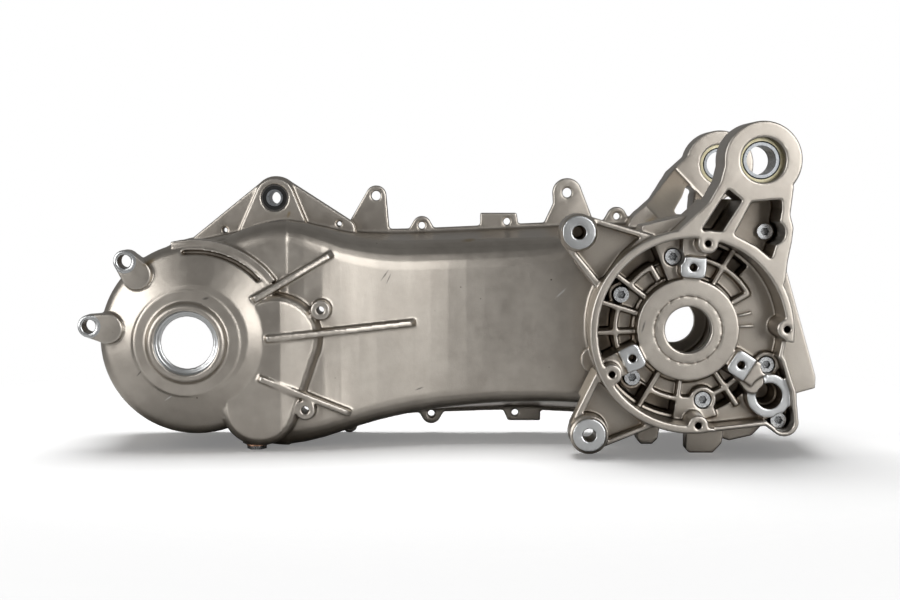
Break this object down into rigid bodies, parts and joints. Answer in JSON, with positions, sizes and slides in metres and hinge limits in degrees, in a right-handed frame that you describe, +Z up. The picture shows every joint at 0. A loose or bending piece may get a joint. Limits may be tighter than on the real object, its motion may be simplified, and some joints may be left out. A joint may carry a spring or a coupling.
{
  "type": "engine crankcase",
  "caption": "Two-piece crankcase of a small two-stroke scooter engine: a long belt case with a rear gear housing, and a round flywheel half bolted to it.",
  "frame": {"origin": "crankshaft axis on the joint plane between the two halves", "axes": "+X towards the cylinder, +Y towards the belt cover, +Z up as the case stands on its foot"},
  "size_m": [0.4815, 0.192, 0.215],
  "materials": {
    "casting": "satin, blasted casting with machined faces",
    "gasket": "pressed fibre sheet, matt",
    "steel": "ground steel",
    "zinc_screw": "bright zinc plate",
    "passivated_shell": "yellow passivated steel, satin",
    "bush_rubber": "bonded black rubber",
    "dark_shell": "dull dark steel",
    "washer": "soft copper sealing ring"
  },
  "bodies": {
    "root": {"transmission_half": "casting", "flywheel_half": "casting", "joint_gasket": "gasket", "dowel_front": "steel", "dowel_rear": "steel", "case_screw_1": "zinc_screw", "case_screw_2": "zinc_screw", "case_screw_3": "zinc_screw", "case_screw_4": "zinc_screw", "case_screw_5": "zinc_screw", "case_screw_6": "zinc_screw", "case_screw_7": "zinc_screw", "near_mount_shell": "passivated_shell", "near_mount_rubber": "bush_rubber", "near_mount_sleeve": "steel", "far_mount_shell": "passivated_shell", "far_mount_rubber": "bush_rubber", "far_mount_sleeve": "steel", "shock_bush_shell": "dark_shell", "shock_bush_rubber": "bush_rubber", "shock_bush_sleeve": "steel", "drain_plug": "zinc_screw", "drain_washer": "washer"}
  },
  "joints": []
}
